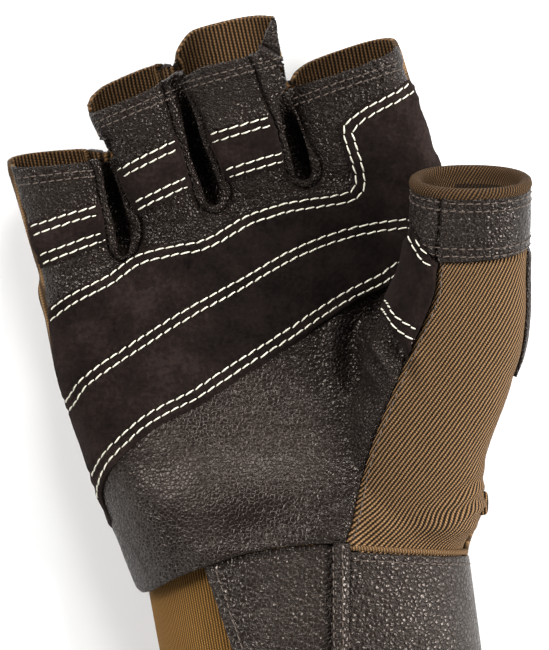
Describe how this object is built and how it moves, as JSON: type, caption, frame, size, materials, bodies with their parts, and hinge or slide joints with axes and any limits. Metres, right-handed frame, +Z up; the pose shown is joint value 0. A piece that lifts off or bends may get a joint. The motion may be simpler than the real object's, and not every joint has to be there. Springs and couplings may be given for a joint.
{
  "type": "fingerless sport glove",
  "caption": "Fingerless right-hand leather sport glove with suede palm pad, ribbed thumb panel, cut-off finger stalls and a wrist wrap strap.",
  "frame": {"origin": "on the flat rest plane under the middle of the palm, on the back of the glove", "axes": "+Z up out of the palm, +Y from the wrist to the fingers, +X to the thumb side"},
  "size_m": [0.1291, 0.2118, 0.0576],
  "materials": {
    "leather": "dark brown grained nappa",
    "wrap_leather": "dark brown coarse grained leather",
    "suede": "dark brown suede",
    "ribbed_fabric": "tan ribbed stretch knit",
    "stretch_fabric": "brown stretch knit",
    "elastic": "golden tan knitted elastic",
    "binding": "light brown folded tape"
  },
  "bodies": {
    "root": {"palm_leather": "leather", "back_fabric": "stretch_fabric", "thumb_fabric": "ribbed_fabric", "thumb_band": "leather", "thumb_lining": "stretch_fabric", "thumb_back_patch": "leather", "thumb_crotch_patch": "suede", "palm_pad": "suede", "fourchette_pinky_ring": "leather", "fourchette_ring_middle": "leather", "fourchette_middle_index": "leather", "patch_pinky": "suede", "patch_ring": "suede", "patch_middle": "suede", "wrist_elastic": "elastic", "wrap_panel": "wrap_leather", "wrap_welt": "wrap_leather", "wrap_strap": "wrap_leather", "strap_binding": "binding", "pull_tab": "elastic"}
  },
  "joints": []
}
